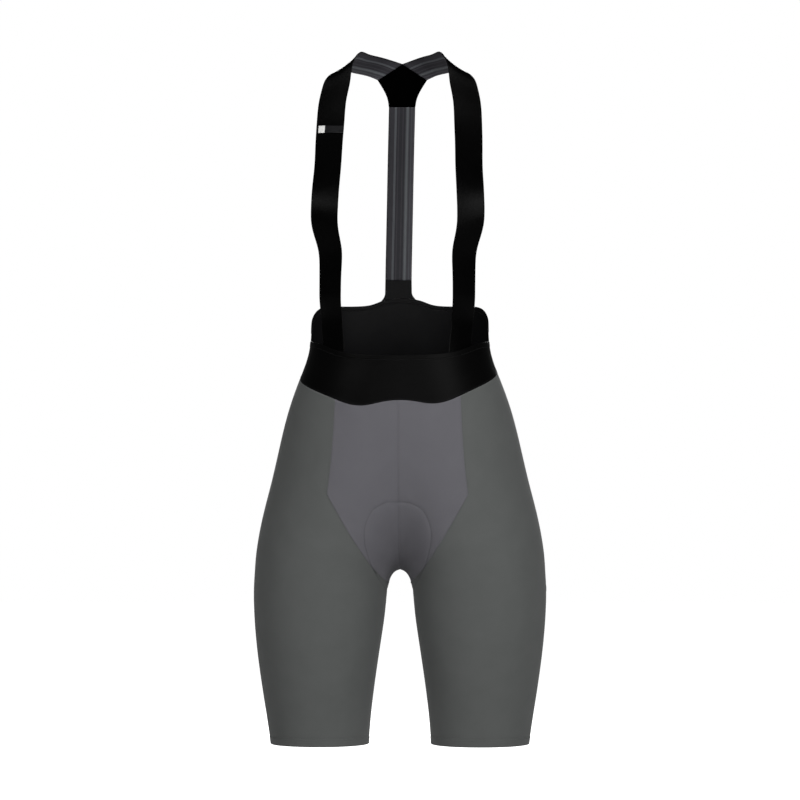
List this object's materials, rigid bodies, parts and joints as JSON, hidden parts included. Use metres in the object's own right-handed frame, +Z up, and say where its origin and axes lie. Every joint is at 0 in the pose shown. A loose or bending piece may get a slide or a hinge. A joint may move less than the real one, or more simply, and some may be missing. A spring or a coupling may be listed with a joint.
{
  "type": "cycling bib shorts",
  "caption": "Close-fitting cycling shorts with a high waistband, a seat pad and shoulder straps that meet in a Y at the back, in the shape they have when worn.",
  "frame": {"origin": "between the shoulders, at the height where the two straps bear on them", "axes": "+Z up, -Y the front, +X the wearer's left"},
  "size_m": [0.3738, 0.2218, 0.8872],
  "materials": {
    "leg_jersey": "matt warp-knit stretch jersey, grey green",
    "panel_jersey": "matt warp-knit stretch jersey, grey violet",
    "waist_knit": "black stretch knit with a slight sheen",
    "strap_elastic": "black elastic webbing, its inner face grey with pale stripes",
    "pad_foam": "moulded foam faced with brushed jersey",
    "label_satin": "woven satin label, bare"
  },
  "bodies": {
    "root": {"front_panel_left": "panel_jersey", "front_panel_right": "panel_jersey", "leg_left": "leg_jersey", "leg_right": "leg_jersey", "waistband_front": "waist_knit", "waistband_back": "waist_knit", "chamois_pad": "pad_foam", "strap_left": "strap_elastic", "strap_right": "strap_elastic", "strap_label": "label_satin", "back_yoke": "waist_knit", "back_strap": "strap_elastic", "back_tab": "waist_knit"}
  },
  "joints": []
}
